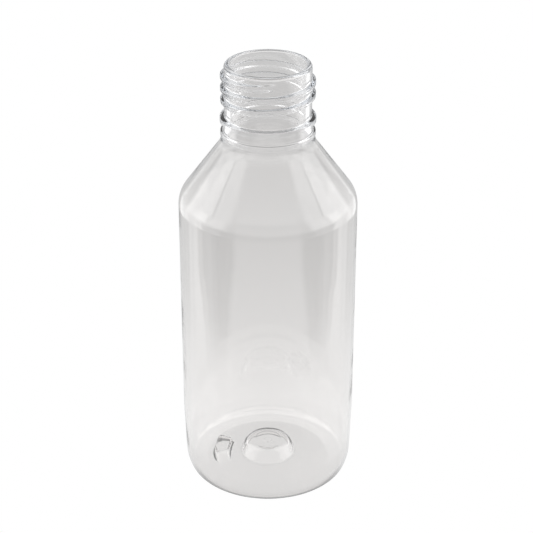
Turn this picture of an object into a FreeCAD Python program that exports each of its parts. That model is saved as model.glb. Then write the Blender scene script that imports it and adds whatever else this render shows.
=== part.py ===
import FreeCAD, Part
import math
import os
import Sketcher

# Clear PET bottle with a screw neck, stretch blown in one piece.
# Origin: centre of the standing ring, on the surface the bottle stands on. +Z points up to the mouth.
# The front, where the thread starts, faces -Y. Lengths are in millimetres, angles in degrees.

SIZES = (
    # Body
    ("total_height", "116"),
    ("body_diameter", "46"),
    ("side_wall", "0.6"),
    ("shoulder_angle", "36.3"),
    ("shoulder_rounding", "6.7"),
    ("shoulder_wall", "0.8"),
    ("taper_height", "18.2"),
    ("taper_angle", "1.9"),
    ("taper_rounding", "29"),
    # Heel and standing ring, whose outer edge lies inside the body's side
    ("heel_rounding", "10.3"),
    ("heel_inset", "2.8"),
    ("foot_rounding", "1.6"),
    ("standing_width", "3.2"),
    ("base_wall", "0.9"),
    # Web inside the standing ring, and the push-up in the middle
    ("web_width", "9.7"),
    ("web_height", "1.8"),
    ("pushup_height", "4.6"),
    ("pushup_draft", "25"),
    ("pushup_rounding", "1.1"),
    ("pushup_foot_rounding", "0.7"),
    ("pushup_wall", "1.1"),
    ("rod_mark_diameter", "6.8"),
    ("rod_mark_depth", "0.2"),
    ("gate_diameter", "2.2"),
    ("gate_height", "0.4"),
    # Orientation lug pressed up into the web on the left, between the push-up and the standing ring
    ("lug_pushup_gap", "3"),
    ("lug_ring_gap", "1.9"),
    ("lug_direction", "180"),
    ("lug_span", "48"),
    ("lug_rise", "0.7"),
    ("lug_draft", "12"),
    ("lug_corner_rounding", "1.2"),
    ("lug_edge_rounding", "0.4"),
    ("lug_foot_rounding", "0.4"),
    ("lug_hollow_edge_rounding", "0.3"),
    # Neck; its lip is flat between an inner and an outer rounding, which takes the rest of the wall
    ("neck_diameter", "22"),
    ("neck_wall", "1.3"),
    ("lip_flat", "0.15"),
    ("lip_inner_rounding", "0.25"),
    ("throat_rounding", "9"),
    # Screw thread, one start, right handed; a rise is how far a ridge stands out from the neck
    ("thread_rise", "0.9"),
    ("thread_pitch", "3.15"),
    ("thread_turns", "2.36"),
    ("thread_depth", "2.2"),
    ("thread_direction", "268"),
    ("thread_root_width", "1.05"),
    ("thread_crest_rounding", "0.75"),
    ("thread_lead_in", "0.03"),
    ("thread_runout", "0.07"),
    # Bead under the thread, which a tamper band grips
    ("bead_rise", "1.1"),
    ("bead_depth", "14.3"),
    ("bead_foot", "2.2"),
    ("bead_crest_rounding", "0.8"),
    # Transfer band below the bead; its upper side is a small ledge
    ("band_rise", "1"),
    ("band_spacing", "3.7"),
    ("band_foot", "1.8"),
    ("band_crest_rounding", "0.6"),
    # Neck wall between the bead and the band, a little thicker than under the thread
    ("collar_rise", "0.4"),
    ("collar_rounding", "0.3"),
    # Thick wall from the band down to the shoulder, where the neck ends
    ("neck_foot", "1.2"),
    ("skirt_rise", "0.9"),
    ("neck_root_rounding", "2"),
)

# How far a ridge reaches into the neck, so that the two join in one solid
BURIED = 0.1

# Two heights or radii closer than this count as one
NEAR = 0.01

# Places on an edge of a sketch, and the sketch's own axes, by the numbers that its constraints use
START, END, CENTRE = range(1, 4)
VERTICAL_AXIS, HORIZONTAL_AXIS = range(-2, 0)

# Sizes that follow from the driving ones
LIP_ROUNDING = "Sizes.neck_wall - Sizes.lip_flat - Sizes.lip_inner_rounding"
BORE_RADIUS = "Sizes.neck_diameter / 2 - Sizes.neck_wall"
BAND_DEPTH = "Sizes.bead_depth + Sizes.band_spacing"
NECK_HEIGHT = BAND_DEPTH + " + Sizes.neck_foot"
STANDING_RADIUS = "Sizes.body_diameter / 2 - Sizes.heel_inset"
RING_RADIUS = STANDING_RADIUS + " - Sizes.standing_width"
PUSHUP_RADIUS = RING_RADIUS + " - Sizes.web_width"
LUG_TOP = "Sizes.web_height + Sizes.base_wall + Sizes.lug_rise"


def worked_out(size):
    """Returns the sizes with the numbers that follow from them, to draw each outline in its place."""
    size = dict(size)
    size["lip_rounding"] = size["neck_wall"] - size["lip_flat"] - size["lip_inner_rounding"]
    size["neck_radius"] = size["neck_diameter"] / 2
    size["bore_radius"] = size["neck_radius"] - size["neck_wall"]
    size["thread_foot"] = size["thread_pitch"] - size["thread_root_width"]
    size["band_depth"] = size["bead_depth"] + size["band_spacing"]
    size["shoulder_top"] = size["total_height"] - size["band_depth"] - size["neck_foot"]
    size["standing_radius"] = size["body_diameter"] / 2 - size["heel_inset"]
    size["ring_radius"] = size["standing_radius"] - size["standing_width"]
    size["pushup_radius"] = size["ring_radius"] - size["web_width"]
    size["lug_near"] = size["pushup_radius"] + size["lug_pushup_gap"]
    size["lug_far"] = size["ring_radius"] - size["lug_ring_gap"]
    size["lug_top"] = size["web_height"] + size["base_wall"] + size["lug_rise"]
    return size


def make_sheet(doc):
    """Writes the driving sizes into the sheet and returns the numbers by name."""
    sheet = doc.addObject("Spreadsheet::Sheet", "Sizes")
    for row, (name, number) in enumerate(SIZES, start=1):
        sheet.set("A%d" % row, name)
        sheet.set("B%d" % row, number)
        sheet.setAlias("B%d" % row, name)
    doc.recompute()
    return worked_out({name: float(number) for name, number in SIZES})


def origin_plane(body, role):
    for feature in body.Origin.OriginFeatures:
        if feature.Role == role:
            return feature
    raise RuntimeError("no plane " + role)


def new_sketch(body, name, role):
    sketch = body.newObject("Sketcher::SketchObject", name)
    sketch.AttachmentSupport = [(origin_plane(body, role), "")]
    sketch.MapMode = "FlatFace"
    return sketch


def bind(sketch, kind, where, drawn, expression):
    """Adds a size at its drawn value and binds it to the sheet."""
    index = sketch.addConstraint(Sketcher.Constraint(kind, *where, drawn))
    sketch.setExpression("Constraints[%d]" % index, expression)


def bind_x(sketch, geometry, point, expression):
    drawn = sketch.getPoint(geometry, point).x
    bind(sketch, "DistanceX", (HORIZONTAL_AXIS, START, geometry, point), drawn, expression)


def bind_y(sketch, geometry, point, expression):
    drawn = sketch.getPoint(geometry, point).y
    bind(sketch, "DistanceY", (HORIZONTAL_AXIS, START, geometry, point), drawn, expression)


def bind_radius(sketch, geometry, expression):
    bind(sketch, "Radius", (geometry,), sketch.Geometry[geometry].Radius, expression)


def bind_angle(sketch, line, degrees, expression):
    bind(sketch, "Angle", (line,), math.radians(degrees), expression)


def vector(x, y):
    return FreeCAD.Vector(x, y, 0)


def corner_arc(before, corner, after, radius):
    """Returns the centre and the two ends of the arc that rounds a corner."""
    ahead = (vector(*after) - vector(*corner)).normalize()
    back = (vector(*before) - vector(*corner)).normalize()
    half = back.getAngle(ahead) / 2
    reach = radius / math.tan(half)
    middle = (ahead + back).normalize()
    centre = vector(*corner) + middle * (radius / math.sin(half))
    return centre, vector(*corner) + back * reach, vector(*corner) + ahead * reach


def draw_arc(sketch, centre, first, last):
    """Draws the short arc between two points; returns it and which of its ends meets the first point."""
    radius = (first - centre).Length
    first_angle = math.atan2(first.y - centre.y, first.x - centre.x)
    last_angle = math.atan2(last.y - centre.y, last.x - centre.x)
    turn = (last_angle - first_angle) % (2 * math.pi)
    circle = Part.Circle(centre, FreeCAD.Vector(0, 0, 1), radius)
    if turn < math.pi:
        arc = Part.ArcOfCircle(circle, first_angle, first_angle + turn)
        return sketch.addGeometry(arc, False), START, END
    arc = Part.ArcOfCircle(circle, last_angle, last_angle + 2 * math.pi - turn)
    return sketch.addGeometry(arc, False), END, START


def heel_arcs(size):
    """Works out the two arcs of the heel: a small one off the floor, then a large one up to the taper."""
    small, large = size["foot_rounding"], size["heel_rounding"]
    lean = math.radians(size["taper_angle"])
    foot = vector(size["standing_radius"], small)
    down = vector(-math.sin(lean), -math.cos(lean))
    inward = vector(-math.cos(lean), math.sin(lean))
    start = vector(size["body_diameter"] / 2, size["taper_height"]) + inward * large
    along = (start - foot).dot(down)
    reach = (large - small) ** 2 - (start - foot).Length ** 2 + along ** 2
    centre = start - down * (along + math.sqrt(reach))
    join = centre + (foot - centre).normalize() * large
    return foot, centre, join, centre - inward * large


def corner_point(sketch, at, edges):
    """Marks the sharp corner behind a rounding, or a place on one edge, to measure to."""
    point = sketch.addGeometry(Part.Point(vector(*at)), True)
    for edge in edges:
        sketch.addConstraint(Sketcher.Constraint("PointOnObject", point, START, edge))
    return point


class Outline:
    """Lines and arcs drawn end to end in a sketch; a smooth one has no corner beside an arc."""

    def __init__(self, sketch, smooth=True):
        self.sketch = sketch
        self.smooth = smooth
        self.pieces = []
        self.arcs = set()

    def line(self, start, end):
        segment = Part.LineSegment(vector(start[0], start[1]), vector(end[0], end[1]))
        self.pieces.append((self.sketch.addGeometry(segment, False), START, END))
        return self.pieces[-1][0]

    def arc(self, centre, first, last):
        self.pieces.append(draw_arc(self.sketch, centre, first, last))
        self.arcs.add(self.pieces[-1][0])
        return self.pieces[-1][0]

    def close(self):
        """Joins each piece to the next: two lines at a corner, an arc smoothly."""
        for here, after in zip(self.pieces, self.pieces[1:] + self.pieces[:1]):
            beside_arc = here[0] in self.arcs or after[0] in self.arcs
            kind = "Tangent" if self.smooth and beside_arc else "Coincident"
            self.sketch.addConstraint(Sketcher.Constraint(kind, here[0], here[2], after[0], after[1]))


def draw_side(body, name, size, text, lip_rounded):
    """Draws half the section from the floor up over heel, side, shoulder and neck, closed along the axis.

    The same outline serves the outer form and the cavity; text gives each size as the sheet has it.
    """
    sketch = new_sketch(body, name, "XZ_Plane")
    outline = Outline(sketch)
    radius = size["body_diameter"] / 2
    neck = size["neck_radius"]
    top = size["total_height"]
    shoulder_top = size["shoulder_top"]
    corner_height = shoulder_top - (radius - neck) / math.tan(math.radians(size["shoulder_angle"]))
    shoulder = (radius, corner_height)
    taper = (radius, size["taper_height"])
    standing = vector(size["standing_radius"], 0)
    foot_centre, heel_centre, heel_join, heel_top = heel_arcs(size)
    taper_arc = corner_arc((heel_top.x, heel_top.y), taper, shoulder, size["taper_rounding"])
    shoulder_arc = corner_arc(taper, shoulder, (neck, shoulder_top), size["shoulder_rounding"])
    lip_arc = corner_arc((neck, shoulder_top), (neck, top), (0, top), size["lip_rounding"])
    neck_end = lip_arc[1] if lip_rounded else (neck, top)
    rim_start = lip_arc[2] if lip_rounded else (neck, top)

    floor = outline.line((0, 0), standing)
    foot_round = outline.arc(foot_centre, standing, heel_join)
    heel_round = outline.arc(heel_centre, heel_join, heel_top)
    taper_side = outline.line(heel_top, taper_arc[1])
    taper_round = outline.arc(*taper_arc)
    side = outline.line(taper_arc[2], shoulder_arc[1])
    shoulder_round = outline.arc(*shoulder_arc)
    cone = outline.line(shoulder_arc[2], (neck, shoulder_top))
    neck_side = outline.line((neck, shoulder_top), neck_end)
    if lip_rounded:
        bind_radius(sketch, outline.arc(*lip_arc), LIP_ROUNDING)
    rim = outline.line(rim_start, (0, top))
    axis = outline.line((0, top), (0, 0))
    outline.close()

    for end in (START, END):
        sketch.addConstraint(Sketcher.Constraint("PointOnObject", axis, end, VERTICAL_AXIS))
    for flat in (floor, rim):
        sketch.addConstraint(Sketcher.Constraint("Horizontal", flat))
    for upright in (side, neck_side):
        sketch.addConstraint(Sketcher.Constraint("Vertical", upright))
    taper_corner = corner_point(sketch, taper, (taper_side, side))
    if "floor" in text:
        bind_y(sketch, floor, END, text["floor"])
    else:
        sketch.addConstraint(Sketcher.Constraint("PointOnObject", floor, END, HORIZONTAL_AXIS))
    bind_x(sketch, floor, END, STANDING_RADIUS)
    bind_radius(sketch, foot_round, text["foot_rounding"])
    bind_radius(sketch, heel_round, text["heel_rounding"])
    bind_angle(sketch, taper_side, 90 - size["taper_angle"], "90deg - Sizes.taper_angle * 1deg")
    bind_y(sketch, taper_corner, START, "Sizes.taper_height")
    bind_radius(sketch, taper_round, "Sizes.taper_rounding")
    bind_x(sketch, side, END, text["body_radius"])
    bind_radius(sketch, shoulder_round, text["shoulder_rounding"])
    bind_angle(sketch, cone, 90 + size["shoulder_angle"], "90deg + Sizes.shoulder_angle * 1deg")
    bind_x(sketch, cone, END, text["neck_radius"])
    bind_y(sketch, cone, END, text["shoulder_top"])
    bind_y(sketch, rim, START, "Sizes.total_height")
    return sketch


OUTSIDE = {
    "foot_rounding": "Sizes.foot_rounding",
    "heel_rounding": "Sizes.heel_rounding",
    "body_radius": "Sizes.body_diameter / 2",
    "shoulder_rounding": "Sizes.shoulder_rounding",
    "neck_radius": "Sizes.neck_diameter / 2",
    "shoulder_top": "Sizes.total_height - (%s)" % NECK_HEIGHT,
}

# The cavity keeps a wall's distance from the outside; under the neck its cone runs up to the bore
INSIDE = {
    "floor": "Sizes.base_wall",
    "foot_rounding": "Sizes.foot_rounding - Sizes.base_wall",
    "heel_rounding": "Sizes.heel_rounding - Sizes.base_wall",
    "body_radius": "Sizes.body_diameter / 2 - Sizes.side_wall",
    "shoulder_rounding": "Sizes.shoulder_rounding - Sizes.side_wall",
    "neck_radius": BORE_RADIUS,
    "shoulder_top": OUTSIDE["shoulder_top"] + " + Sizes.neck_wall / tan(Sizes.shoulder_angle * 1deg)"
    " - Sizes.shoulder_wall / sin(Sizes.shoulder_angle * 1deg)",
}


def draw_underside(body, name, size, text):
    """Draws half the section of the hollow under a base surface: web and push-up, closed along the axis."""
    sketch = new_sketch(body, name, "XZ_Plane")
    outline = Outline(sketch)
    crown_height = size["pushup_height"]
    lean = (crown_height - size["web_height"]) * math.tan(math.radians(size["pushup_draft"]))
    foot = (size["pushup_radius"], size["web_height"])
    crown = (foot[0] - lean, crown_height)
    ring = (size["ring_radius"], 0)
    crown_arc = corner_arc((0, crown_height), crown, foot, size["pushup_rounding"])
    foot_arc = corner_arc(crown, foot, ring, size["pushup_foot_rounding"])

    plateau = outline.line((0, crown_height), crown_arc[1])
    crown_round = outline.arc(*crown_arc)
    pushup_side = outline.line(crown_arc[2], foot_arc[1])
    foot_round = outline.arc(*foot_arc)
    web = outline.line(foot_arc[2], ring)
    floor = outline.line(ring, (0, 0))
    axis = outline.line((0, 0), (0, crown_height))
    outline.close()

    for end in (START, END):
        sketch.addConstraint(Sketcher.Constraint("PointOnObject", axis, end, VERTICAL_AXIS))
    for flat in (plateau, floor):
        sketch.addConstraint(Sketcher.Constraint("Horizontal", flat))
    foot_corner = corner_point(sketch, foot, (pushup_side, web))
    bind_y(sketch, plateau, START, text["pushup_height"])
    bind_radius(sketch, crown_round, text["pushup_rounding"])
    bind_angle(sketch, pushup_side, size["pushup_draft"] - 90, "Sizes.pushup_draft * 1deg - 90deg")
    bind_radius(sketch, foot_round, text["pushup_foot_rounding"])
    bind_x(sketch, foot_corner, START, text["pushup_radius"])
    bind_y(sketch, foot_corner, START, text["web_height"])
    bind_x(sketch, web, END, RING_RADIUS)
    if "floor" in text:
        bind_y(sketch, web, END, text["floor"])
    else:
        sketch.addConstraint(Sketcher.Constraint("PointOnObject", web, END, HORIZONTAL_AXIS))
    return sketch


UNDER = {
    "pushup_height": "Sizes.pushup_height",
    "pushup_rounding": "Sizes.pushup_rounding",
    "pushup_radius": PUSHUP_RADIUS,
    "pushup_foot_rounding": "Sizes.pushup_foot_rounding + Sizes.base_wall",
    "web_height": "Sizes.web_height",
}

# The upper surface of the base runs over the hollow at a wall's distance
OVER = {
    "floor": "Sizes.base_wall",
    "pushup_height": "Sizes.pushup_height + Sizes.pushup_wall",
    "pushup_rounding": "Sizes.pushup_rounding + Sizes.base_wall",
    "pushup_radius": PUSHUP_RADIUS
    + " + Sizes.base_wall * (1 / cos(Sizes.pushup_draft * 1deg) - tan(Sizes.pushup_draft * 1deg))",
    "pushup_foot_rounding": "Sizes.pushup_foot_rounding",
    "web_height": "Sizes.web_height + Sizes.base_wall",
}


def draw_ridge(body, name, size, ridge, depth, foot_width, direction=None):
    """Draws the section of a ridge round the neck: two flanks and a round crest, buried in the wall.

    ridge names its sizes in the sheet, depth is its distance below the mouth, foot_width its width where
    it leaves the neck, and direction turns the section about the axis.
    """
    sketch = new_sketch(body, name, "XZ_Plane")
    if direction:
        turn = FreeCAD.Rotation(FreeCAD.Vector(0, 1, 0), size["thread_direction"])
        sketch.AttachmentOffset = FreeCAD.Placement(FreeCAD.Vector(), turn)
        sketch.setExpression("AttachmentOffset.Rotation.Angle", direction)
    outline = Outline(sketch)
    root = size["neck_radius"]
    middle = size["total_height"] - size[ridge + "_depth"]
    half = size[ridge + "_foot"] / 2
    crest = size[ridge + "_crest_rounding"]
    centre = vector(root + size[ridge + "_rise"] - crest, middle)
    # The flank leaves the foot and touches the crest circle
    reach = centre - vector(root, middle - half)
    slope = math.atan2(reach.y, reach.x) - math.asin(crest / reach.Length)
    touch = vector(math.sin(slope), math.cos(slope)) * crest
    lower_touch = vector(centre.x + touch.x, centre.y - touch.y)
    upper_touch = vector(centre.x + touch.x, centre.y + touch.y)
    spread = half + BURIED * math.tan(slope)

    base = outline.line((root - BURIED, middle + spread), (root - BURIED, middle - spread))
    lower = outline.line((root - BURIED, middle - spread), lower_touch)
    tip = outline.arc(centre, lower_touch, upper_touch)
    upper = outline.line(upper_touch, (root - BURIED, middle + spread))
    outline.close()

    sketch.addConstraint(Sketcher.Constraint("Vertical", base))
    bind_x(sketch, base, START, "Sizes.neck_diameter / 2 - %g" % BURIED)
    bind_radius(sketch, tip, "Sizes.%s_crest_rounding" % ridge)
    crest_centre = "Sizes.neck_diameter / 2 + Sizes.{0}_rise - Sizes.{0}_crest_rounding"
    bind_x(sketch, tip, CENTRE, crest_centre.format(ridge))
    bind_y(sketch, tip, CENTRE, "Sizes.total_height - (%s)" % depth)
    for flank, height, sign in ((lower, middle - half, "-"), (upper, middle + half, "+")):
        foot = corner_point(sketch, (root, height), (flank,))
        bind_x(sketch, foot, START, "Sizes.neck_diameter / 2")
        bind_y(sketch, foot, START, "Sizes.total_height - (%s) %s (%s) / 2" % (depth, sign, foot_width))
    return sketch


def draw_sleeve(body, name, size, rise, low, high, text):
    """Draws a thicker part of the neck wall between two heights."""
    sketch = new_sketch(body, name, "XZ_Plane")
    near, far = size["neck_radius"] - BURIED, size["neck_radius"] + size[rise]
    corners = [(near, low), (far, low), (far, high), (near, high)]
    outline = Outline(sketch)
    lower, outer, upper, inner = [outline.line(*ends) for ends in zip(corners, corners[1:] + corners[:1])]
    outline.close()
    for flat in (lower, upper):
        sketch.addConstraint(Sketcher.Constraint("Horizontal", flat))
    for upright in (outer, inner):
        sketch.addConstraint(Sketcher.Constraint("Vertical", upright))
    bind_x(sketch, inner, END, "Sizes.neck_diameter / 2 - %g" % BURIED)
    bind_x(sketch, outer, START, "Sizes.neck_diameter / 2 + Sizes." + rise)
    bind_y(sketch, lower, START, text["low"])
    bind_y(sketch, upper, START, text["high"])
    return sketch


COLLAR = {
    "low": "Sizes.total_height - (%s)" % BAND_DEPTH,
    "high": "Sizes.total_height - Sizes.bead_depth",
}

# The skirt ends where it lies inside the shoulder
SKIRT = {
    "low": OUTSIDE["shoulder_top"] + " - 2 * Sizes.skirt_rise / tan(Sizes.shoulder_angle * 1deg)",
    "high": COLLAR["low"],
}


def volume(body):
    return 0 if body.Shape.isNull() else body.Shape.Volume


def finish(feature, before, adds):
    """Recomputes a new feature and stops if it added or cut nothing."""
    feature.Document.recompute()
    gained = feature.Shape.Volume - before
    print("%-16s %10.2f mm3" % (feature.Name, gained))
    if (gained > 0) != adds:
        raise RuntimeError(feature.Name + " changed the volume the wrong way")


def revolve(body, kind, name, sketch):
    """Turns a section a full turn about the bottle's axis, as a Revolution or a Groove."""
    before = volume(body)
    feature = body.newObject("PartDesign::" + kind, name)
    feature.Profile = sketch
    feature.ReferenceAxis = (sketch, ["V_Axis"])
    feature.Angle = 360
    finish(feature, before, kind == "Revolution")


def wind(body, name, sketch, turns, downward, sink=None):
    """Sweeps a section along a right-handed helix; with sink it dips into the wall as it ends."""
    before = volume(body)
    helix = body.newObject("PartDesign::AdditiveHelix", name)
    helix.Profile = sketch
    helix.ReferenceAxis = (sketch, ["V_Axis"])
    helix.LeftHanded = False
    helix.Reversed = downward
    helix.Mode = "height-turns-growth"
    helix.setExpression("Height", "Sizes.thread_pitch * (%s)" % turns)
    helix.setExpression("Turns", turns)
    if sink:
        helix.setExpression("Growth", "-(%s) / (%s)" % (sink, turns))
    finish(helix, before, True)


def raised_plane(sketch, height):
    """Lifts a sketch that lies on the floor plane to a height given by the sheet."""
    sketch.setExpression("AttachmentOffset.Base.z", height)


def draw_disc(body, name, diameter, height):
    """Draws a circle about the axis at a height."""
    sketch = new_sketch(body, name, "XY_Plane")
    circle = Part.Circle(FreeCAD.Vector(), FreeCAD.Vector(0, 0, 1), 1)
    disc = sketch.addGeometry(circle, False)
    sketch.addConstraint(Sketcher.Constraint("Coincident", disc, CENTRE, HORIZONTAL_AXIS, START))
    bind_radius(sketch, disc, diameter + " / 2")
    raised_plane(sketch, height)
    return sketch


def draw_lug(body, name, size, text):
    """Draws the outline of the lug from above: two arcs about the axis, closed by two radial ends."""
    sketch = new_sketch(body, name, "XY_Plane")
    near, far = size["lug_near"], size["lug_far"]
    first = size["lug_direction"] - size["lug_span"] / 2
    last = size["lug_direction"] + size["lug_span"] / 2

    def at(radius, degrees):
        turn = math.radians(degrees)
        return vector(radius * math.cos(turn), radius * math.sin(turn))

    outline = Outline(sketch, smooth=False)
    inner = outline.arc(vector(0, 0), at(near, first), at(near, last))
    last_end = outline.line(at(near, last), at(far, last))
    outer = outline.arc(vector(0, 0), at(far, last), at(far, first))
    first_end = outline.line(at(far, first), at(near, first))
    outline.close()

    for arc in (inner, outer):
        sketch.addConstraint(Sketcher.Constraint("Coincident", arc, CENTRE, HORIZONTAL_AXIS, START))
    for end in (last_end, first_end):
        sketch.addConstraint(Sketcher.Constraint("PointOnObject", HORIZONTAL_AXIS, START, end))
    bind_radius(sketch, inner, text["near"])
    bind_radius(sketch, outer, text["far"])
    bind_angle(sketch, last_end, last, text["last"])
    bind_angle(sketch, first_end, first + 180, text["first"] + " + 180deg")
    return sketch


LUG_OVER = {
    "near": PUSHUP_RADIUS + " + Sizes.lug_pushup_gap",
    "far": RING_RADIUS + " - Sizes.lug_ring_gap",
    "first": "(Sizes.lug_direction - Sizes.lug_span / 2) * 1deg",
    "last": "(Sizes.lug_direction + Sizes.lug_span / 2) * 1deg",
}

# The hollow under the lug keeps a wall's distance inside it
LUG_WALL = "Sizes.base_wall / cos(Sizes.lug_draft * 1deg)"
LUG_WALL_TURN = "2 * %s / (%s + %s) * 1rad" % (LUG_WALL, LUG_OVER["near"], LUG_OVER["far"])
LUG_UNDER = {
    "near": LUG_OVER["near"] + " + " + LUG_WALL,
    "far": LUG_OVER["far"] + " - " + LUG_WALL,
    "first": LUG_OVER["first"] + " + " + LUG_WALL_TURN,
    "last": LUG_OVER["last"] + " - " + LUG_WALL_TURN,
}


def press(body, kind, name, sketch, length, upward, draft=None):
    """Adds or cuts a straight or drafted block from a sketch, up or down."""
    before = volume(body)
    feature = body.newObject("PartDesign::" + kind, name)
    feature.Profile = sketch
    feature.setExpression("Length", length)
    feature.Reversed = upward == (kind == "Pocket")
    if draft:
        feature.setExpression("TaperAngle", draft)
    finish(feature, before, kind == "Pad")


def round_edges(body, name, radius, wanted):
    """Rounds the edges that a test picks out."""
    base = body.Tip
    picked = ["Edge%d" % number for number, edge in enumerate(base.Shape.Edges, start=1) if wanted(edge)]
    if not picked:
        raise RuntimeError("no edges for " + name)
    fillet = body.newObject("PartDesign::Fillet", name)
    fillet.Base = (base, picked)
    fillet.setExpression("Radius", radius)
    body.Document.recompute()
    print("%-16s %10.2f mm3 on %d edges" % (name, fillet.Shape.Volume - base.Shape.Volume, len(picked)))


def circles(low, high, least, most):
    """Makes a test for full circles about the axis, by their height and radius."""

    def test(edge):
        box = edge.BoundBox
        flat = box.ZLength < NEAR and edge.isClosed()
        radius = box.XLength / 2
        return flat and low - NEAR < box.ZMin < high + NEAR and least - NEAR < radius < most + NEAR

    return test


def lug_edges(size, top, floor):
    """Makes tests for edges of the lug or its hollow: the slanted corners, the edge of its top, its foot."""
    near = size["lug_near"] - size["base_wall"]
    far = size["lug_far"] + size["base_wall"]

    def beside_axis(edge):
        centre = edge.CenterOfMass
        return near < math.hypot(centre.x, centre.y) < far and centre.x < 0

    def corner(edge):
        box = edge.BoundBox
        return beside_axis(edge) and box.ZLength > NEAR and abs(box.ZMax - top) < NEAR

    def rim(edge):
        box = edge.BoundBox
        return beside_axis(edge) and box.ZLength < NEAR and abs(box.ZMax - top) < NEAR

    def foot(edge):
        box = edge.BoundBox
        return beside_axis(edge) and floor < box.ZMin and box.ZMax < top - NEAR

    return corner, rim, foot


def shape_neck(body, size):
    """Adds the bead, the band and the thicker walls below each to the neck, with soft roots."""
    for ridge, depth in (("bead", "Sizes.bead_depth"), ("band", BAND_DEPTH)):
        section = draw_ridge(body, ridge + "_section", size, ridge, depth, "Sizes.%s_foot" % ridge)
        revolve(body, "Revolution", ridge, section)
    neck = size["neck_radius"]
    bead = size["total_height"] - size["bead_depth"]
    band = size["total_height"] - size["band_depth"]
    hidden = 2 * size["skirt_rise"] / math.tan(math.radians(size["shoulder_angle"]))
    skirt_end = size["shoulder_top"] - hidden
    collar = draw_sleeve(body, "collar_outline", size, "collar_rise", band, bead, COLLAR)
    revolve(body, "Revolution", "collar", collar)
    skirt = draw_sleeve(body, "skirt_outline", size, "skirt_rise", skirt_end, band, SKIRT)
    revolve(body, "Revolution", "skirt", skirt)
    collar_roots = circles(band, bead + size["bead_foot"], neck, neck + size["collar_rise"])
    round_edges(body, "neck_roots", "Sizes.collar_rounding", collar_roots)
    skirt_radius = neck + size["skirt_rise"]
    skirt_root = circles(skirt_end, size["shoulder_top"], skirt_radius, skirt_radius)
    round_edges(body, "shoulder_root", "Sizes.neck_root_rounding", skirt_root)


def wind_thread(body, size):
    """Winds the thread down from its start; at both ends it dips into the neck wall."""
    start = "Sizes.thread_direction * 1deg"
    end = "(Sizes.thread_direction - 360 * Sizes.thread_turns) * 1deg"
    depth = "Sizes.thread_depth"
    end_depth = "Sizes.thread_depth + Sizes.thread_pitch * Sizes.thread_turns"
    foot = "Sizes.thread_pitch - Sizes.thread_root_width"
    sink = "Sizes.thread_rise + %g" % BURIED
    section = draw_ridge(body, "thread_section", size, "thread", depth, foot, start)
    wind(body, "thread", section, "Sizes.thread_turns", True)
    section = draw_ridge(body, "thread_start_section", size, "thread", depth, foot, start)
    wind(body, "thread_start", section, "Sizes.thread_lead_in", False, sink)
    section = draw_ridge(body, "thread_end_section", size, "thread", end_depth, foot, end)
    wind(body, "thread_end", section, "Sizes.thread_runout", True, sink)


def shape_base(body, size):
    """Raises the web, the push-up and the lug inside, then hollows them from below at a wall's distance."""
    revolve(body, "Revolution", "base_rise", draw_underside(body, "rise_outline", size, OVER))
    lug = draw_lug(body, "lug_outline", size, LUG_OVER)
    press(body, "Pad", "lug", lug, LUG_TOP, True, "-Sizes.lug_draft * 1deg")
    corner, rim, foot = lug_edges(size, size["lug_top"], size["base_wall"])
    round_edges(body, "lug_corners", "Sizes.lug_corner_rounding", corner)
    round_edges(body, "lug_foot", "Sizes.lug_foot_rounding", foot)
    round_edges(body, "lug_rim", "Sizes.lug_edge_rounding", rim)

    revolve(body, "Groove", "base_hollow", draw_underside(body, "hollow_outline", size, UNDER))
    hollow = draw_lug(body, "lug_hollow_outline", size, LUG_UNDER)
    depth = LUG_TOP + " - Sizes.base_wall"
    press(body, "Pocket", "lug_hollow", hollow, depth, True, "-Sizes.lug_draft * 1deg")
    corner, rim, foot = lug_edges(size, size["lug_top"] - size["base_wall"], 0)
    round_edges(body, "hollow_corners", "Sizes.lug_corner_rounding - Sizes.base_wall", corner)
    round_edges(body, "hollow_rim", "Sizes.lug_hollow_edge_rounding", rim)

    crown = "Sizes.pushup_height + Sizes.pushup_wall"
    mark = draw_disc(body, "rod_mark_outline", "Sizes.rod_mark_diameter", crown)
    press(body, "Pocket", "rod_mark", mark, "Sizes.rod_mark_depth", False)
    gate = draw_disc(body, "gate_outline", "Sizes.gate_diameter", "Sizes.pushup_height")
    press(body, "Pad", "gate", gate, "Sizes.gate_height", False)


def check(doc, body):
    """Stops if a feature failed, a sketch is loose or the bottle isn't one sound solid."""
    for item in doc.Objects:
        if "Invalid" in item.State or "Error" in item.State:
            raise RuntimeError("%s is %s" % (item.Label, item.State))
        if item.isDerivedFrom("Sketcher::SketchObject") and not item.FullyConstrained:
            raise RuntimeError("%s is loose" % item.Label)
    shape = body.Shape
    if shape.isNull() or not shape.isValid() or len(shape.Solids) != 1:
        raise RuntimeError("%s isn't one valid solid" % body.Label)


def main():
    doc = FreeCAD.newDocument("pet_bottle")
    size = make_sheet(doc)
    body = doc.addObject("PartDesign::Body", "bottle")
    body.Label = "bottle"

    revolve(body, "Revolution", "outer_form", draw_side(body, "outer_outline", size, OUTSIDE, True))
    shape_neck(body, size)
    wind_thread(body, size)

    revolve(body, "Groove", "cavity", draw_side(body, "cavity_outline", size, INSIDE, False))
    bore, top = size["bore_radius"], size["total_height"]
    round_edges(body, "lip_inside", "Sizes.lip_inner_rounding", circles(top, top, bore, bore))
    middle, reach = size["shoulder_top"], size["band_spacing"]
    throat = circles(middle - reach, middle + reach, bore, bore)
    round_edges(body, "throat", "Sizes.throat_rounding", throat)

    shape_base(body, size)
    check(doc, body)

    shape = body.Shape
    os.makedirs("parts", exist_ok=True)
    shape.exportStep("parts/%s.step" % body.Label)
    print("volume %.1f mm3, %d faces" % (shape.Volume, len(shape.Faces)))


main()
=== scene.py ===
import math

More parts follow.
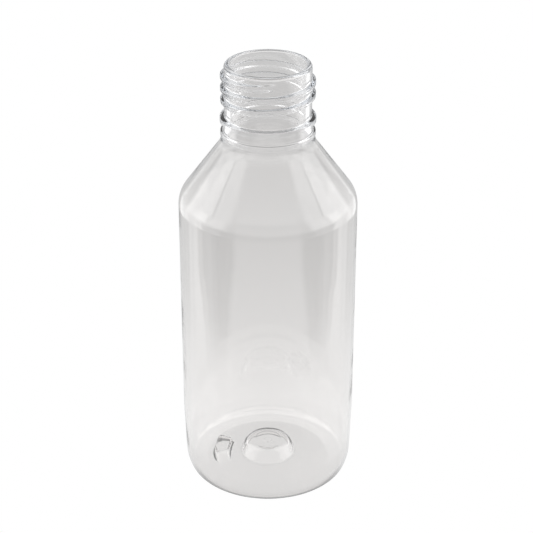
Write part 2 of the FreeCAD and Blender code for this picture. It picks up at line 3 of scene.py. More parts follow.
import bmesh
import bpy
import numpy as np
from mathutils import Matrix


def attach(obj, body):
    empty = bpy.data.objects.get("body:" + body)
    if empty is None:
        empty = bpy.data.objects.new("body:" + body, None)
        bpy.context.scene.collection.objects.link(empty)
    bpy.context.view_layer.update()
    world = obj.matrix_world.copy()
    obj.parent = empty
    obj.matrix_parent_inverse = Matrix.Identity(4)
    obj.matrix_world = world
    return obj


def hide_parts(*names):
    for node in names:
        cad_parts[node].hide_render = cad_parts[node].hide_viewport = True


# Clear PET bottle. Sizes below are in millimetres and degrees; meshes are written in metres.
# Height 0 is the surface the bottle stands on, its axis is Z, and the camera looks along +Y.

MM = 0.001

# Body, shoulder and the slight taper above the heel
HEIGHT = 116.0
BODY_RADIUS = 23.0
SIDE_WALL = 0.6

SHOULDER_ANGLE = 36.3
SHOULDER_ROUNDING = 6.7
SHOULDER_WALL = 0.8

TAPER_HEIGHT = 18.2
TAPER_ANGLE = 1.9
TAPER_ROUNDING = 29.0

# Heel, foot and the flat ring that the bottle stands on
HEEL_ROUNDING = 10.3
FOOT_ROUNDING = 1.6
STANDING_RADIUS = 20.2
RING_RADIUS = 17.0
RING_ROUNDING = 0.5
RING_INNER_ROUNDING = 1.2
BASE_WALL = 0.6

# Web and push-up inside the ring; the crown is the push-up's upper surface, with the mark of the rod
WEB_HEIGHT = 1.8
PUSHUP_RADIUS = 6.6
PUSHUP_HEIGHT = 4.9
PUSHUP_DRAFT = 25.0
PUSHUP_ROUNDING = 1.4
CROWN_RADIUS = 7.6
CROWN_DRAFT = 27.0
CROWN_ROUNDING = 2.4
PUSHUP_FOOT_ROUNDING = 0.7
PUSHUP_WALL = 1.1
ROD_MARK_RADIUS = 3.4
ROD_MARK_DEPTH = 0.2
ROD_MARK_ROUNDING = 0.09
GATE_RADIUS = 1.1
GATE_HEIGHT = 0.12
GATE_ROUNDING = 0.05

# Lug on the web; nothing higher than its room is lifted by it
LUG_NEAR = 10.3
LUG_FAR = 15.1
LUG_DIRECTION = 180.0
LUG_SPAN = 48.0
LUG_TOP = 3.4
LUG_CORNER = 1.2
LUG_SLOPE = 0.55
LUG_NEAR_END_SLOPE = 3.4
LUG_ROOM = 8.0

NECK_RADIUS = 11.0
NECK_HEIGHT = 19.2
BORE_RADIUS = 9.7
LIP_ROUNDING = 0.9
LIP_INNER_ROUNDING = 0.25
THROAT_ROUNDING = 9.0
NECK_BLEND = 1.0

# Each ridge: how far it stands out, where its feet are above and below, and half its flat crest
THREAD_RISE, THREAD_ABOVE, THREAD_BELOW, THREAD_HALF_CREST = 0.9, 0.85, 1.45, 0.35
BEAD_RISE, BEAD_ABOVE, BEAD_BELOW, BEAD_HALF_CREST = 1.105, 1.0, 1.4, 0.5
BAND_RISE, BAND_ABOVE, BAND_BELOW, BAND_HALF_CREST = 1.0, 0.9, 0.9, 0.4
SKIRT_RISE = 0.9
THREAD_PITCH = 3.15
THREAD_TURNS = 2.5
THREAD_DEPTH = 2.1
THREAD_DIRECTION = 284.0
# Turns over which the thread rises at its start and sinks at its end
THREAD_FADE_IN = 0.08
THREAD_FADE_OUT = 0.1
BEAD_DEPTH = 14.3
BAND_DEPTH = 18.0
COLLAR_RISE = 0.35
COLLAR_EASE = 0.5
SKIRT_EASE = 0.3

# Rows and columns of the mesh. Points added to a straight run keep off its ends, by a share of its
# length up to a limit; a row closer to the axis than the centre's limit is a single point.
ROW_GAP = 4.0
HOLD_SHARE = 0.15
HOLD_LIMIT = 0.35
CENTRE_LIMIT = 1e-6
NECK_ROW_GAP = 0.12
# Rows beside the thread follow it: where they start above its middle, how many turns and how fine
THREAD_MARGIN = 1.1
THREAD_ZONE_TURNS = 2.7
ROWS_PER_TURN = 32
ZONE_END_ROWS = 6
THREAD_ZONE_END = 12.95
SHOULDER_OVERLAP = 2.6
LUG_ROW_GAP = 0.22
COLUMNS = 184
LUG_END_COLUMNS = 9
LUG_END_SPAN = 8.0
LUG_END_MARGIN = 0.6
# Steps to either side, in height and in direction, from which a slope of the neck is taken
SLOPE_STEP, SLOPE_TURN = 0.01, 0.05

# The camera's place and near limit are in metres, its tilt is counted from looking straight down
CAMERA_PLACE = (0.0, -0.36473, 0.25014)
CAMERA_TILT = 62.412
CAMERA_LENS = 105.798
CAMERA_SENSOR = 36.0
CAMERA_SHIFT = -0.0028
CAMERA_NEAR = 0.01

BOUNCES = 24
GLOSSY_BOUNCES = 8

WHITE = (1.0, 1.0, 1.0, 1.0)
PET_COLOR = (0.995, 0.985, 0.977, 1.0)
PET_REFRACTION = 1.575
PET_ROUGHNESS = 0.012
# Faint waves from blowing: how many to the metre, how fine, and how strongly they bend the light
WAVE_SCALE, WAVE_DETAIL, WAVE_ROUGHNESS = 70.0, 2.0, 0.4
WAVE_STRENGTH, WAVE_DEPTH = 0.05, 0.001
TINT_COLOR = (0.62, 0.69, 0.78, 1.0)
TINT_DENSITY = 35.0


def smooth_step(value):
    """Rises from 0 to 1 with level ends."""
    value = np.clip(value, 0.0, 1.0)
    return value * value * (3.0 - 2.0 * value)


def arc(centre, radius, first, last, step=7.0):
    """Points of an arc in the section, by the angles of its ends."""
    count = max(3, int(math.ceil(abs(last - first) / step)) + 1)
    turns = np.radians(np.linspace(first, last, count))
    return [(centre[0] + radius * math.cos(turn), centre[1] + radius * math.sin(turn)) for turn in turns]


def corner(before, at, after, radius, step=9.0):
    """Points of the arc that rounds a corner of the section."""
    before, at, after = (np.array(point, float) for point in (before, at, after))
    back = (before - at) / np.linalg.norm(before - at)
    ahead = (after - at) / np.linalg.norm(after - at)
    half = math.acos(np.clip(back @ ahead, -1.0, 1.0)) / 2
    middle = (back + ahead) / np.linalg.norm(back + ahead)
    centre = at + middle * radius / math.sin(half)
    start = at + back * radius / math.tan(half) - centre
    end = at + ahead * radius / math.tan(half) - centre
    first = math.degrees(math.atan2(start[1], start[0]))
    last = math.degrees(math.atan2(end[1], end[0]))
    turn = (last - first + 180.0) % 360.0 - 180.0
    return arc(centre, radius, first, first + turn, step)


def fill(points):
    """Adds points on long straight runs, closer together where the lug stands on the web."""
    out = [points[0]]
    for start, end in zip(points, points[1:]):
        start, end = np.array(start), np.array(end)
        length = np.linalg.norm(end - start)
        low = max(start[1], end[1]) < LUG_TOP
        on_web = low and min(start[0], end[0]) < LUG_NEAR < max(start[0], end[0])
        gap = LUG_ROW_GAP if on_web else ROW_GAP
        if length > gap:
            hold = min(HOLD_SHARE * length, HOLD_LIMIT)
            inner = np.linspace(hold, length - hold, max(2, int(math.ceil(length / gap))))
            out.extend(tuple(start + (end - start) * at / length) for at in inner)
        out.append(tuple(end))
    return out


def heel(wall, floor):
    """Points from the standing ring up over foot and heel to the taper, at a wall's distance inside."""
    small, large = FOOT_ROUNDING - wall, HEEL_ROUNDING - wall
    lean = math.radians(TAPER_ANGLE)
    foot = np.array([STANDING_RADIUS, floor + small])
    down = np.array([-math.sin(lean), -math.cos(lean)])
    inward = np.array([-math.cos(lean), math.sin(lean)])
    side = SIDE_WALL if wall else 0.0
    start = np.array([BODY_RADIUS - side, TAPER_HEIGHT]) + inward * large
    along = (start - foot) @ down
    reach = (large - small) ** 2 - (start - foot) @ (start - foot) + along ** 2
    centre = start - down * (along + math.sqrt(reach))
    join = math.degrees(math.atan2(*(foot - centre)[::-1]))
    return arc(foot, small, -90.0, join, step=9.0) + arc(centre, large, join, -TAPER_ANGLE, step=5.0)[1:]


def base_section(up, floor, pushup_height, foot_radius, draft, crown_rounding, foot_rounding, ring_rounding):
    """Points of a base surface from the plateau's edge to the standing ring."""
    web = WEB_HEIGHT + up
    lean = (pushup_height - web) * math.tan(math.radians(draft))
    crown = (foot_radius - lean, pushup_height)
    foot = (foot_radius, web)
    ring = (RING_RADIUS, floor)
    points = corner((0.0, pushup_height), crown, foot, crown_rounding)
    points += corner(crown, foot, ring, foot_rounding)
    points += corner(foot, ring, (STANDING_RADIUS, floor), ring_rounding)
    return points


def shoulder(radius, rounding, neck, neck_height, lower):
    """Points from the taper's top over side and shoulder rounding to the foot of the neck."""
    slope = math.tan(math.radians(SHOULDER_ANGLE))
    top = (radius, neck_height - (radius - neck) / slope)
    taper = (radius, TAPER_HEIGHT)
    points = corner(lower, taper, top, TAPER_ROUNDING, step=0.4)
    points += corner(taper, top, (neck, neck_height), rounding, step=4.0)
    return points


def underside():
    """Outer surface of the base, from its centre to the standing ring."""
    centre = (0.0, PUSHUP_HEIGHT - GATE_HEIGHT)
    edge = (GATE_RADIUS, centre[1])
    root = (GATE_RADIUS, PUSHUP_HEIGHT)
    gate = [centre]
    gate += corner(centre, edge, root, GATE_ROUNDING, step=30.0)
    gate += corner(edge, root, (PUSHUP_RADIUS, PUSHUP_HEIGHT), GATE_ROUNDING, step=30.0)
    foot_rounding = PUSHUP_FOOT_ROUNDING + BASE_WALL
    rest = base_section(0.0, 0.0, PUSHUP_HEIGHT, PUSHUP_RADIUS, PUSHUP_DRAFT,
                        PUSHUP_ROUNDING, foot_rounding, RING_ROUNDING)
    return gate + rest


def upper_side():
    """Inner surface of the base, from its centre to the standing ring."""
    crown = PUSHUP_HEIGHT + PUSHUP_WALL
    centre = (0.0, crown - ROD_MARK_DEPTH)
    foot = (ROD_MARK_RADIUS, centre[1])
    rim = (ROD_MARK_RADIUS, crown)
    mark = [centre]
    mark += corner(centre, foot, rim, ROD_MARK_ROUNDING, step=20.0)
    mark += corner(foot, rim, (CROWN_RADIUS, crown), ROD_MARK_ROUNDING, step=20.0)
    rest = base_section(BASE_WALL, BASE_WALL, crown, CROWN_RADIUS, CROWN_DRAFT, CROWN_ROUNDING,
                        PUSHUP_FOOT_ROUNDING, RING_INNER_ROUNDING)
    return mark + rest


def outer_section():
    """Outer section from the centre of the base to the top of the shoulder."""
    points = underside() + heel(0.0, 0.0)
    points += shoulder(BODY_RADIUS, SHOULDER_ROUNDING, NECK_RADIUS, HEIGHT - NECK_HEIGHT, points[-1])
    slope = math.tan(math.radians(SHOULDER_ANGLE))
    start = HEIGHT - NECK_HEIGHT - SHOULDER_OVERLAP
    points.append((NECK_RADIUS + SHOULDER_OVERLAP * slope, start))
    return fill(points)


def neck_rows(direction):
    """Heights of the neck's rows from the shoulder up, and how many are level: the rest follow the thread."""
    turns = ((THREAD_DIRECTION - direction) / 360.0) % 1.0
    first = NECK_HEIGHT + SHOULDER_OVERLAP - NECK_ROW_GAP
    level = int((first - THREAD_ZONE_END) / NECK_ROW_GAP)
    depths = [np.full_like(turns, depth) for depth in np.linspace(first, THREAD_ZONE_END, level)]
    count = int(THREAD_ZONE_TURNS * ROWS_PER_TURN)
    top = THREAD_DEPTH + THREAD_PITCH * turns - THREAD_MARGIN
    bottom = top + THREAD_PITCH * count / ROWS_PER_TURN
    shares = np.arange(1, ZONE_END_ROWS) / ZONE_END_ROWS
    depths += [THREAD_ZONE_END + (bottom - THREAD_ZONE_END) * share for share in shares]
    depths += [top + THREAD_PITCH * step / ROWS_PER_TURN for step in range(count, -1, -1)]
    depths += [top + (LIP_ROUNDING - top) * share for share in list(shares) + [1.0]]
    return [HEIGHT - depth for depth in depths], level


def inner_section():
    """Inner section from the lip down the bore and the cavity to the centre of the base."""
    slope = math.radians(SHOULDER_ANGLE)
    top = HEIGHT - NECK_HEIGHT
    top += (NECK_RADIUS - BORE_RADIUS) / math.tan(slope) - SHOULDER_WALL / math.sin(slope)
    radius = BODY_RADIUS - SIDE_WALL
    points = upper_side() + heel(BASE_WALL, BASE_WALL)
    points += shoulder(radius, SHOULDER_ROUNDING - SIDE_WALL, BORE_RADIUS, top, points[-1])
    points += corner(points[-1], (BORE_RADIUS, top), (BORE_RADIUS, HEIGHT), THROAT_ROUNDING, step=3.0)
    points.append((BORE_RADIUS, HEIGHT - LIP_INNER_ROUNDING))
    return fill(points)[::-1]


def lip_section():
    """Section of the lip from the neck's wall over the flat top to the bore."""
    outside = (NECK_RADIUS - LIP_ROUNDING, HEIGHT - LIP_ROUNDING)
    inside = (BORE_RADIUS + LIP_INNER_ROUNDING, HEIGHT - LIP_INNER_ROUNDING)
    outer = arc(outside, LIP_ROUNDING, 0.0, 90.0, step=9.0)
    inner = arc(inside, LIP_INNER_ROUNDING, 90.0, 180.0, step=18.0)
    return outer[1:] + inner


def ridge(distance, above, below, half_crest):
    """Height of a ridge, from 1 at its crest to 0 at its feet above and below."""
    foot = np.where(distance < 0.0, above, below)
    return smooth_step((foot - np.abs(distance)) / (foot - half_crest))


def neck_relief(depth, direction):
    """How far the neck stands out at a depth below the mouth, in every direction."""
    turns = ((THREAD_DIRECTION - direction) / 360.0) % 1.0
    thread = np.zeros_like(turns)
    for extra in range(-1, math.ceil(THREAD_TURNS) + 1):
        along = turns + extra
        inside = smooth_step(along / THREAD_FADE_IN) * smooth_step((THREAD_TURNS - along) / THREAD_FADE_OUT)
        distance = depth - THREAD_DEPTH - THREAD_PITCH * along
        thread = np.maximum(thread, inside * ridge(distance, THREAD_ABOVE, THREAD_BELOW, THREAD_HALF_CREST))
    bead = BEAD_RISE * ridge(depth - BEAD_DEPTH, BEAD_ABOVE, BEAD_BELOW, BEAD_HALF_CREST)
    band = BAND_RISE * ridge(depth - BAND_DEPTH, BAND_ABOVE, BAND_BELOW, BAND_HALF_CREST)
    collar = COLLAR_RISE * smooth_step((depth - BEAD_DEPTH) / COLLAR_EASE)
    collar = collar * smooth_step((BAND_DEPTH - depth) / COLLAR_EASE)
    skirt = SKIRT_RISE * smooth_step((depth - BAND_DEPTH) / SKIRT_EASE)
    return np.maximum.reduce([THREAD_RISE * thread, bead, band, collar, skirt])


def neck_radius(height, direction):
    """Outer radius of the neck and the top of the shoulder, in every direction."""
    slope = math.tan(math.radians(SHOULDER_ANGLE))
    cone = NECK_RADIUS + np.maximum(0.0, HEIGHT - NECK_HEIGHT - height) * slope
    wall = NECK_RADIUS + neck_relief(HEIGHT - height, direction)
    blend = np.where(cone > NECK_RADIUS, np.maximum(NECK_BLEND - np.abs(wall - cone), 0.0), 0.0)
    return np.maximum(wall, cone) + blend * blend / (4.0 * NECK_BLEND)


def neck_normals(height, direction):
    """Normals of the neck's surface, from its slopes along the axis and round it."""
    turn = np.radians(direction)
    radius = neck_radius(height, direction)
    rise = neck_radius(height + SLOPE_STEP, direction) - neck_radius(height - SLOPE_STEP, direction)
    rise = rise / (2 * SLOPE_STEP)
    swing = neck_radius(height, direction + SLOPE_TURN) - neck_radius(height, direction - SLOPE_TURN)
    swing = swing / (2 * math.radians(SLOPE_TURN) * radius)
    cosines, sines = np.cos(turn), np.sin(turn)
    normals = np.stack([cosines + swing * sines, sines - swing * cosines, -rise], axis=1)
    return normals / np.linalg.norm(normals, axis=1)[:, None]


def lug_share(radius, direction):
    """1 on top of the lug, 0 outside it, with a drafted wall and rounded corners."""
    middle = (LUG_NEAR + LUG_FAR) / 2
    half_width = (LUG_FAR - LUG_NEAR) / 2
    turn = np.radians((direction - LUG_DIRECTION + 180.0) % 360.0 - 180.0)
    half_length = math.radians(LUG_SPAN / 2) * radius
    across = np.abs(radius - middle) - half_width + LUG_CORNER
    along = np.abs(turn) * radius - half_length
    along = np.where(turn > 0.0, along * LUG_SLOPE / LUG_NEAR_END_SLOPE, along) + LUG_CORNER
    outside = np.hypot(np.maximum(across, 0.0), np.maximum(along, 0.0))
    outside = outside + np.minimum(np.maximum(across, along), 0.0)
    return smooth_step((LUG_CORNER - outside) / LUG_SLOPE)


def columns():
    """Directions of the mesh's columns: even, and closer together round the ends of the lug."""
    even = np.arange(COLUMNS) * 360.0 / COLUMNS
    ends = [LUG_DIRECTION + side * (LUG_SPAN - LUG_END_SPAN / 2) / 2 for side in (-1.0, 1.0)]
    between = [np.linspace(-LUG_END_SPAN / 2, LUG_END_SPAN / 2, LUG_END_COLUMNS) + end for end in ends]
    clear = LUG_END_SPAN / 2 + LUG_END_MARGIN
    kept = [angle for angle in even if all(abs(angle - end) > clear for end in ends)]
    return np.array(sorted(kept + list(between[0]) + list(between[1])))


def zip_columns(mesh, left, right):
    """Faces between two columns of points whose heights differ."""
    at, beside = 0, 0
    while at < len(left) - 1 or beside < len(right) - 1:
        ends = beside == len(right) - 1
        if ends or (at < len(left) - 1 and left[at + 1].co.z <= right[beside + 1].co.z):
            mesh.faces.new((left[at], right[beside], left[at + 1]))
            at += 1
        else:
            mesh.faces.new((left[at], right[beside], right[beside + 1]))
            beside += 1


def base_ring(radius, height, directions, top):
    """Heights of a ring of the base, lifted where the lug stands."""
    if height > LUG_ROOM or not LUG_NEAR - LUG_CORNER < radius < LUG_FAR + LUG_CORNER:
        return np.full(len(directions), height)
    return height + max(top - height, 0.0) * lug_share(radius, directions)


def bottle_mesh():
    """One closed skin: up the outside, over the lip and down the inside."""
    directions = columns()
    count = len(directions)
    rows = []
    for radius, height in outer_section():
        rows.append((np.full(count, radius), base_ring(radius, height, directions, LUG_TOP - BASE_WALL)))
    neck_start = len(rows)
    neck, level = neck_rows(directions)
    rows += [(neck_radius(heights, directions), heights) for heights in neck]
    neck_end = len(rows)
    rows += [(np.full(count, radius), np.full(count, height)) for radius, height in lip_section()]
    for radius, height in inner_section():
        rows.append((np.full(count, radius), base_ring(radius, height, directions, LUG_TOP)))

    mesh = bmesh.new()
    cosines, sines = np.cos(np.radians(directions)), np.sin(np.radians(directions))
    rings = []
    for radii, heights in rows:
        if radii[0] < CENTRE_LIMIT:
            rings.append([mesh.verts.new((0.0, 0.0, heights[0] * MM))] * count)
            continue
        places = np.stack([radii * cosines, radii * sines, heights], axis=1) * MM
        rings.append([mesh.verts.new(place) for place in places])
    # Rows that follow the thread don't meet where it starts, so that seam is closed by itself
    seam = int(np.sum(directions <= THREAD_DIRECTION)) - 1
    slanting = range(neck_start + level - 1, neck_end - 1)
    for number, (low, high) in enumerate(zip(rings, rings[1:])):
        for here in range(count):
            if here == seam and number in slanting:
                continue
            after = (here + 1) % count
            corners = [low[here], low[after], high[after], high[here]]
            mesh.faces.new(list(dict.fromkeys(corners)))
    crossing = rings[slanting.start:slanting.stop + 1]
    zip_columns(mesh, [ring[seam] for ring in crossing], [ring[seam + 1] for ring in crossing])
    bmesh.ops.recalc_face_normals(mesh, faces=mesh.faces)
    for face in mesh.faces:
        face.smooth = True
    mesh.verts.index_update()
    exact = [(rings[neck_start + number][0].index, neck_normals(heights, directions))
             for number, heights in enumerate(neck)]
    data = bpy.data.meshes.new("bottle_skin")
    mesh.to_mesh(data)
    mesh.free()
    normals = np.array([vertex.normal for vertex in data.vertices])
    for first, values in exact:
        normals[first:first + count] = values
    data.normals_split_custom_set_from_vertices(normals)
    return data


def add_node(tree, kind, **inputs):
    """A node with the values of its inputs set by name."""
    node = tree.nodes.new(kind)
    for name, value in inputs.items():
        node.inputs[name].default_value = value
    return node


def clear_pet():
    """Clear, glossy PET: faint waves from blowing, a trace of haze, and a cool tint along the wall."""
    material = bpy.data.materials.new("clear_pet")
    material.use_nodes = True
    tree = material.node_tree
    shader = tree.nodes["Principled BSDF"]
    shader.inputs["Base Color"].default_value = PET_COLOR
    shader.inputs["Transmission Weight"].default_value = 1.0
    shader.inputs["IOR"].default_value = PET_REFRACTION
    shader.inputs["Roughness"].default_value = PET_ROUGHNESS
    place = tree.nodes.new("ShaderNodeTexCoord")
    waves = add_node(tree, "ShaderNodeTexNoise", Scale=WAVE_SCALE, Detail=WAVE_DETAIL,
                     Roughness=WAVE_ROUGHNESS)
    tree.links.new(place.outputs["Object"], waves.inputs["Vector"])
    bump = add_node(tree, "ShaderNodeBump", Strength=WAVE_STRENGTH, Distance=WAVE_DEPTH)
    tree.links.new(waves.outputs["Fac"], bump.inputs["Height"])
    tree.links.new(bump.outputs["Normal"], shader.inputs["Normal"])
    absorb = add_node(tree, "ShaderNodeVolumeAbsorption", Color=TINT_COLOR, Density=TINT_DENSITY)
    tree.links.new(absorb.outputs["Volume"], tree.nodes["Material Output"].inputs["Volume"])
    return material


def make_bottle():
    """The bottle in one piece."""
    data = bottle_mesh()
    piece = bpy.data.objects.new("bottle_body", data)
    bpy.context.collection.objects.link(piece)
    data.materials.append(clear_pet())
    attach(piece, "root")
    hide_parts("bottle")


def math_node(tree, operation, *values, clamp=False):
    """A math node fed by numbers or by other nodes' outputs; returns its output."""
    node = tree.nodes.new("ShaderNodeMath")
    node.operation = operation
    node.use_clamp = clamp
    for slot, value in zip(node.inputs, values):
        if isinstance(value, (int, float)):
            slot.default_value = value
        else:
            tree.links.new(value, slot)
    return node.outputs[0]


def soft_edge(tree, value, edge, softness):
    """Rises smoothly from 0 to 1 as the value passes the edge."""
    node = tree.nodes.new("ShaderNodeMapRange")
    node.interpolation_type = "SMOOTHSTEP"
    node.inputs["From Min"].default_value = edge - softness / 2
    node.inputs["From Max"].default_value = edge + softness / 2
    tree.links.new(value, node.inputs["Value"])
    return node.outputs["Result"]


# Light of the studio by azimuth, counted from the camera's side to both sides: each band starts at
# an azimuth, has soft edges that wide and goes on to the next. Below the horizon is the floor.
FLOOR_BANDS = ((0.0, 1.0, 0.52), (46.0, 5.0, 0.2), (78.0, 6.0, 0.45), (103.0, 4.0, 1.0))
# Toward the bottle the dark bands of the floor close in on their middle, from an elevation on, per degree
WEDGE_MIDDLE, WEDGE_START, WEDGE_RATE = 72.0, -27.5, 0.22
# Share of the floor's light that is left past the bottle's sides
SIDE_BANDS = ((0.0, 1.0, 1.0), (124.0, 6.0, 0.7))
# The floor far off, above this elevation, and the walls above the horizon
FAR_BANDS = ((0.0, 1.0, 0.55), (62.0, 3.0, 0.9), (90.0, 4.0, 1.55), (106.0, 8.0, 1.3))
FAR_EDGE, FAR_SOFTNESS = -24.6, 1.2
WALL_BANDS = ((0.0, 1.0, 1.2), (56.0, 14.0, 2.1), (82.0, 2.0, 1.2), (85.0, 2.0, 2.5),
              (104.0, 12.0, 1.9), (124.0, 8.0, 0.74), (150.0, 12.0, 0.6))
# Floor behind the bottle: where it starts, its light far off and near the bottle, and the elevations of both
BACK_START, BACK_SOFTNESS = 147.0, 8.0
BACK_FAR_LIGHT, BACK_NEAR_LIGHT = 0.6, 0.865
BACK_FAR, BACK_NEAR = -24.2, -33.0
# Bright floor close to the bottle: below this elevation in front, and higher by the rise at its azimuth
TABLE_LIGHT = 0.85
TABLE_EDGE, TABLE_RISE, TABLE_RISE_AZIMUTH, TABLE_SOFTNESS = -32.0, 2.5, 138.0, 4.0
HORIZON_SOFTNESS = 3.0
# Steeply downward there is only the shade at the bottle's own foot
FOOT_LIGHT = 0.35
FOOT_EDGE, FOOT_SOFTNESS = -47.0, 8.0
# Table right under the bottle, seen through it, as a glowing patch with painted shade: dimmer in the painted
# shade of the web than round it, and dimmer in front than behind. It is a round patch just below the surface
# that the bottle stands on.
UNDER_REACH = 30.0
UNDER_DROP = 0.05
UNDER_SIDES = 96
UNDER_WEB_LIGHT, UNDER_FRONT_LIGHT, UNDER_BACK_LIGHT = 0.725, 0.73, 0.83
UNDER_FRONT, UNDER_BACK = -12.0, 12.0
UNDER_EDGE, UNDER_SOFTNESS = 16.6, 1.0
# Painted contact shade where the foot's rounding leaves the table: where it starts and ends, how deep it is,
# and where behind the front it fades out
SHADE_START, SHADE_START_SOFTNESS = 20.4, 0.8
SHADE_END, SHADE_END_SOFTNESS = 23.5, 2.5
SHADE_DEPTH = 0.4
SHADE_FRONT, SHADE_FRONT_SOFTNESS = -9.0, 12.0


def bands(tree, azimuth, parts):
    """Light that changes from band to band with the azimuth."""
    light = parts[0][2]
    for (start, softness, after), (_, _, before) in zip(parts[1:], parts):
        step = soft_edge(tree, azimuth, start, softness)
        light = math_node(tree, "MULTIPLY_ADD", step, after - before, light)
    return light


def mix(tree, share, first, second):
    """Goes from the first value to the second as the share rises from 0 to 1."""
    gap = math_node(tree, "SUBTRACT", second, first)
    return math_node(tree, "MULTIPLY_ADD", share, gap, first)


def studio():
    """White studio: pale floor and backdrop, a darker room behind the camera, bright walls at both sides."""
    world = bpy.data.worlds.new("studio")
    bpy.context.scene.world = world
    world.use_nodes = True
    tree = world.node_tree
    background = tree.nodes["Background"]
    place = tree.nodes.new("ShaderNodeTexCoord")
    split = tree.nodes.new("ShaderNodeSeparateXYZ")
    tree.links.new(place.outputs["Generated"], split.inputs["Vector"])
    aside = math_node(tree, "ABSOLUTE", split.outputs["X"])
    ahead = math_node(tree, "MULTIPLY", split.outputs["Y"], -1.0)
    azimuth = math_node(tree, "DEGREES", math_node(tree, "ARCTAN2", aside, ahead))
    elevation = math_node(tree, "DEGREES", math_node(tree, "ARCSINE", split.outputs["Z"]))

    falling = math_node(tree, "SUBTRACT", BACK_FAR, elevation)
    nearness = math_node(tree, "DIVIDE", falling, BACK_FAR - BACK_NEAR, clamp=True)
    back = mix(tree, nearness, BACK_FAR_LIGHT, BACK_NEAR_LIGHT)
    table_edge = math_node(tree, "MULTIPLY_ADD", azimuth, TABLE_RISE / TABLE_RISE_AZIMUTH, TABLE_EDGE)
    above_table = soft_edge(tree, math_node(tree, "SUBTRACT", elevation, table_edge), 0.0, TABLE_SOFTNESS)
    nearer = math_node(tree, "MAXIMUM", math_node(tree, "SUBTRACT", WEDGE_START, elevation), 0.0)
    closing = math_node(tree, "MULTIPLY_ADD", nearer, WEDGE_RATE, 1.0)
    from_middle = math_node(tree, "SUBTRACT", azimuth, WEDGE_MIDDLE)
    closed = math_node(tree, "MULTIPLY_ADD", from_middle, closing, WEDGE_MIDDLE)
    floor = math_node(tree, "MULTIPLY", bands(tree, closed, FLOOR_BANDS), bands(tree, azimuth, SIDE_BANDS))
    floor = mix(tree, above_table, TABLE_LIGHT, floor)
    far_off = soft_edge(tree, elevation, FAR_EDGE, FAR_SOFTNESS)
    floor = mix(tree, far_off, floor, bands(tree, azimuth, FAR_BANDS))
    floor = mix(tree, soft_edge(tree, azimuth, BACK_START, BACK_SOFTNESS), floor, back)
    floor = mix(tree, soft_edge(tree, elevation, FOOT_EDGE, FOOT_SOFTNESS), FOOT_LIGHT, floor)
    walls = bands(tree, azimuth, WALL_BANDS)
    light = mix(tree, soft_edge(tree, elevation, 0.0, HORIZON_SOFTNESS), floor, walls)

    # What the camera sees past the bottle is at least white
    path = tree.nodes.new("ShaderNodeLightPath")
    light = math_node(tree, "MAXIMUM", light, path.outputs["Is Camera Ray"])
    tree.links.new(light, background.inputs["Strength"])
    background.inputs["Color"].default_value = WHITE


def glow_material(name):
    """A white material that glows evenly; returns it and the node that glows."""
    material = bpy.data.materials.new(name)
    material.use_nodes = True
    tree = material.node_tree
    tree.nodes.remove(tree.nodes["Principled BSDF"])
    glow = add_node(tree, "ShaderNodeEmission", Color=WHITE, Strength=1.0)
    tree.links.new(glow.outputs[0], tree.nodes["Material Output"].inputs["Surface"])
    return material, glow


def make_floor():
    """Plain white floor, evenly lit, for the camera alone."""
    data = bpy.data.meshes.new("floor")
    size = 4.0
    corners = [(-size, -size, 0), (size, -size, 0), (size, size, 0), (-size, size, 0)]
    data.from_pydata(corners, [], [(0, 1, 2, 3)])
    floor = bpy.data.objects.new("floor", data)
    bpy.context.collection.objects.link(floor)
    material, _ = glow_material("floor_white")
    data.materials.append(material)
    floor.visible_diffuse = False
    floor.visible_glossy = False
    floor.visible_transmission = False
    floor.visible_volume_scatter = False
    floor.visible_shadow = False


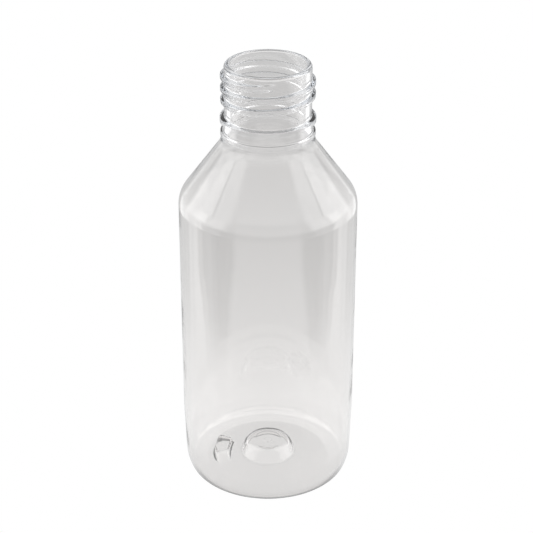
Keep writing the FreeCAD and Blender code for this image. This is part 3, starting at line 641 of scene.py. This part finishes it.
def make_table_patch():
    """Table under the bottle, as it looks through the base, glowing with painted shade under the web, in
    front and round the foot; the bare floor stays white.
    """
    mesh = bmesh.new()
    bmesh.ops.create_circle(mesh, cap_ends=True, segments=UNDER_SIDES, radius=UNDER_REACH * MM)
    data = bpy.data.meshes.new("table_patch")
    mesh.to_mesh(data)
    mesh.free()
    patch = bpy.data.objects.new("table_patch", data)
    patch.location = (0.0, 0.0, -UNDER_DROP * MM)
    bpy.context.collection.objects.link(patch)
    material, glow = glow_material("table_patch")
    tree = material.node_tree
    place = tree.nodes.new("ShaderNodeTexCoord")
    length = tree.nodes.new("ShaderNodeVectorMath")
    length.operation = "LENGTH"
    tree.links.new(place.outputs["Object"], length.inputs[0])
    # Painted shade: the patch glows dimmer under the web and on the camera's side
    outward = soft_edge(tree, length.outputs["Value"], UNDER_EDGE * MM, UNDER_SOFTNESS * MM)
    split = tree.nodes.new("ShaderNodeSeparateXYZ")
    tree.links.new(place.outputs["Object"], split.inputs["Vector"])
    middle, depth = (UNDER_FRONT + UNDER_BACK) / 2 * MM, (UNDER_BACK - UNDER_FRONT) * MM
    backward = soft_edge(tree, split.outputs["Y"], middle, depth)
    round_web = mix(tree, backward, UNDER_FRONT_LIGHT, UNDER_BACK_LIGHT)
    light = mix(tree, outward, UNDER_WEB_LIGHT, round_web)
    # Painted contact shadow: a dimmer ring round the foot, in front only
    start = soft_edge(tree, length.outputs["Value"], SHADE_START * MM, SHADE_START_SOFTNESS * MM)
    end = soft_edge(tree, length.outputs["Value"], SHADE_END * MM, SHADE_END_SOFTNESS * MM)
    shade = math_node(tree, "MULTIPLY", math_node(tree, "SUBTRACT", start, end), SHADE_DEPTH)
    behind = soft_edge(tree, split.outputs["Y"], SHADE_FRONT * MM, SHADE_FRONT_SOFTNESS * MM)
    shade = math_node(tree, "MULTIPLY", shade, math_node(tree, "SUBTRACT", 1.0, behind))
    light = math_node(tree, "MULTIPLY", light, math_node(tree, "SUBTRACT", 1.0, shade))
    tree.links.new(light, glow.inputs["Strength"])
    data.materials.append(material)
    patch.visible_camera = False
    patch.visible_diffuse = False
    patch.visible_volume_scatter = False
    patch.visible_shadow = False


def make_camera():
    """Camera at the photograph's viewing angle, in front of the bottle and above it."""
    data = bpy.data.cameras.new("camera")
    camera = bpy.data.objects.new("camera", data)
    bpy.context.collection.objects.link(camera)
    camera.location = CAMERA_PLACE
    camera.rotation_euler = (math.radians(CAMERA_TILT), 0.0, 0.0)
    data.sensor_width = CAMERA_SENSOR
    data.lens = CAMERA_LENS
    data.shift_x = CAMERA_SHIFT
    data.clip_start = CAMERA_NEAR
    bpy.context.scene.camera = camera


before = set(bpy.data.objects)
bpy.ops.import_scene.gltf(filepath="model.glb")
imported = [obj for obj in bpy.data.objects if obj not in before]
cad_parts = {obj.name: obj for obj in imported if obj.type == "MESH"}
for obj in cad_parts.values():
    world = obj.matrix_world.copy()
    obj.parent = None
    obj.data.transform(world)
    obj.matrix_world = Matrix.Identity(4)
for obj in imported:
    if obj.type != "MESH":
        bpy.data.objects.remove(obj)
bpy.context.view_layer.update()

scene = bpy.context.scene
scene.view_settings.view_transform = "Standard"
scene.cycles.max_bounces = BOUNCES
scene.cycles.transmission_bounces = BOUNCES
scene.cycles.glossy_bounces = GLOSSY_BOUNCES

make_camera()
studio()
make_floor()
make_table_patch()
make_bottle()
